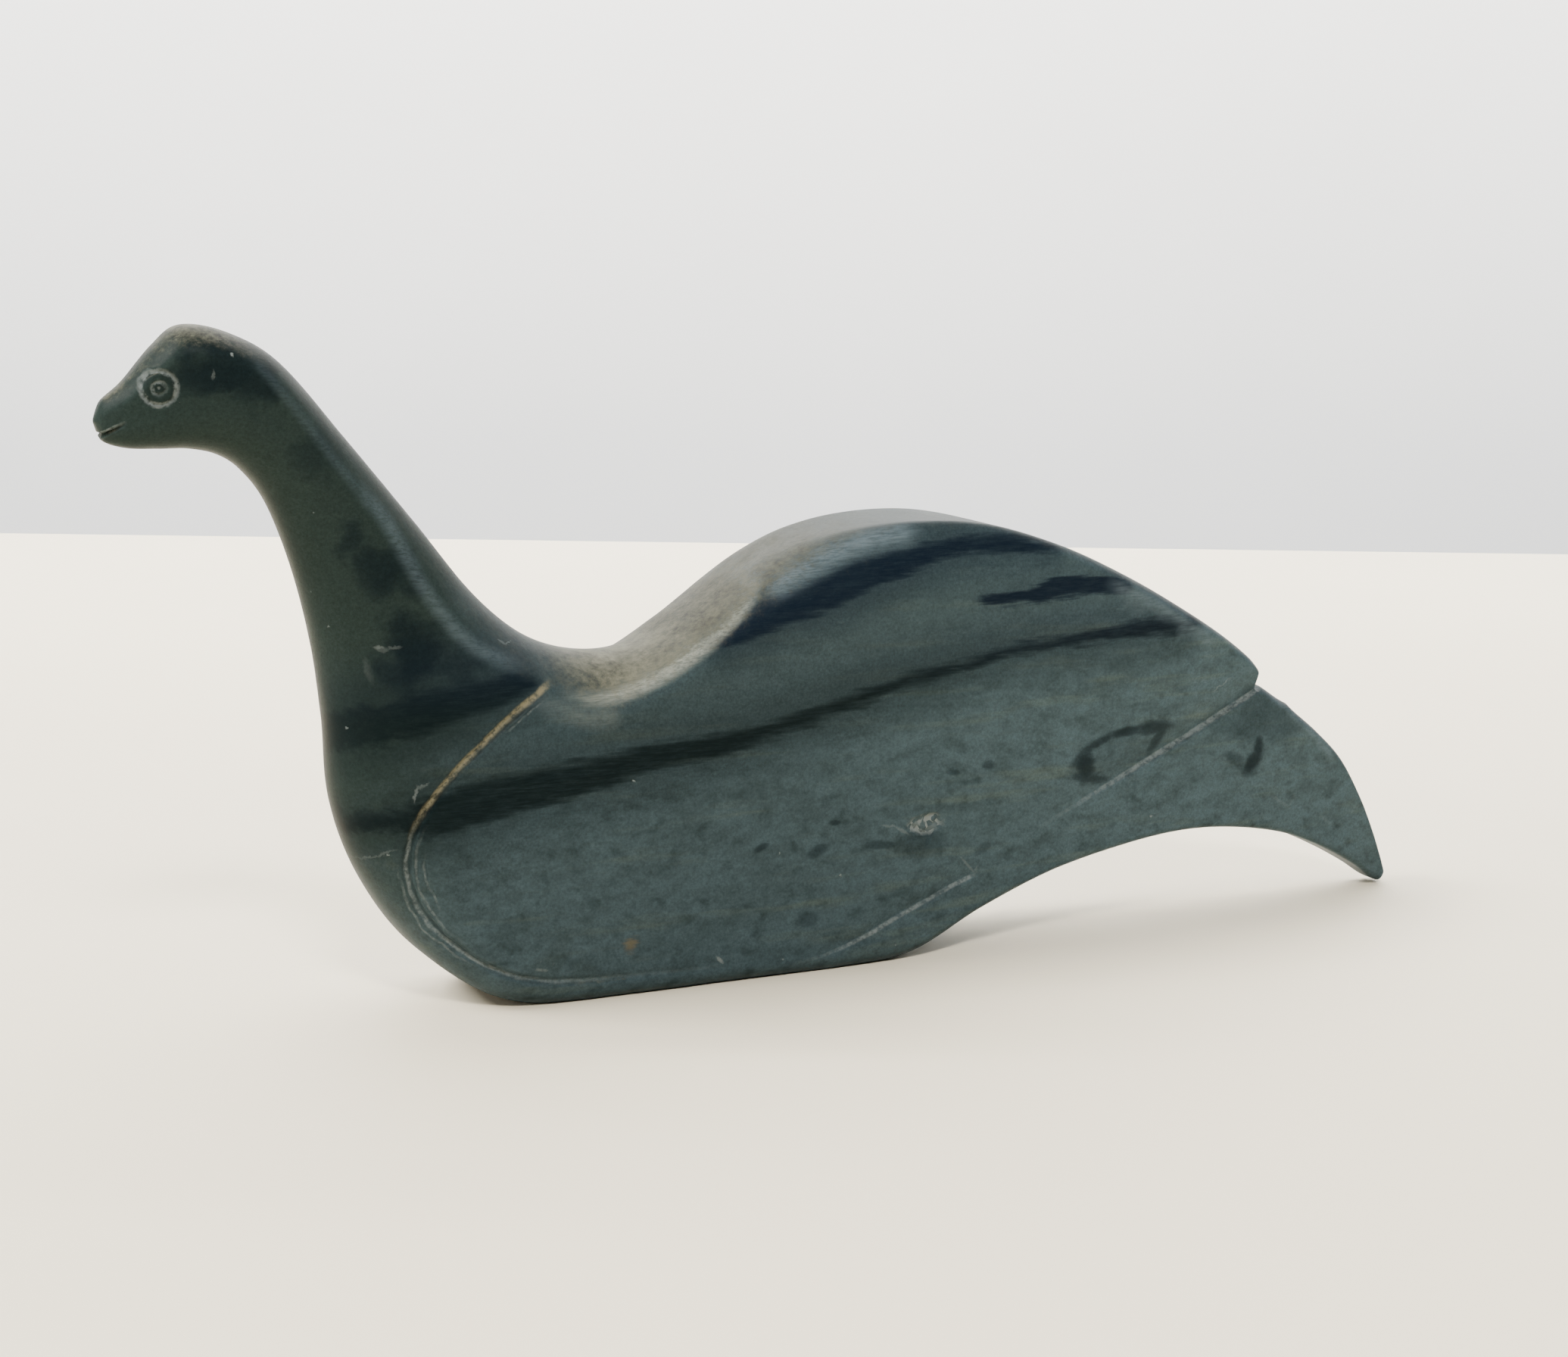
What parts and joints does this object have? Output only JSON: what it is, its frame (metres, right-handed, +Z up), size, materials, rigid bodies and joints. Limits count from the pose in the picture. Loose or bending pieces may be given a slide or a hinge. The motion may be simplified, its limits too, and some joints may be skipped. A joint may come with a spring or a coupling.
{
  "type": "soapstone bird carving",
  "caption": "Long-necked water bird carved in one piece from a flat slab of dark green-grey stone, resting on its flat belly with its tail curving down to the table.",
  "frame": {"origin": "under the middle of the bird, on the plane that its flat belly rests on", "axes": "+Z up, the beak towards -X and the tail towards +X, the flat flanks facing -Y and +Y"},
  "size_m": [0.171, 0.0202, 0.0788],
  "materials": {
    "soapstone": "rubbed to a soft satin, dark green-grey with near-black veins, pale scratches left in the cut grooves"
  },
  "bodies": {
    "root": {"bird": "soapstone"}
  },
  "joints": []
}
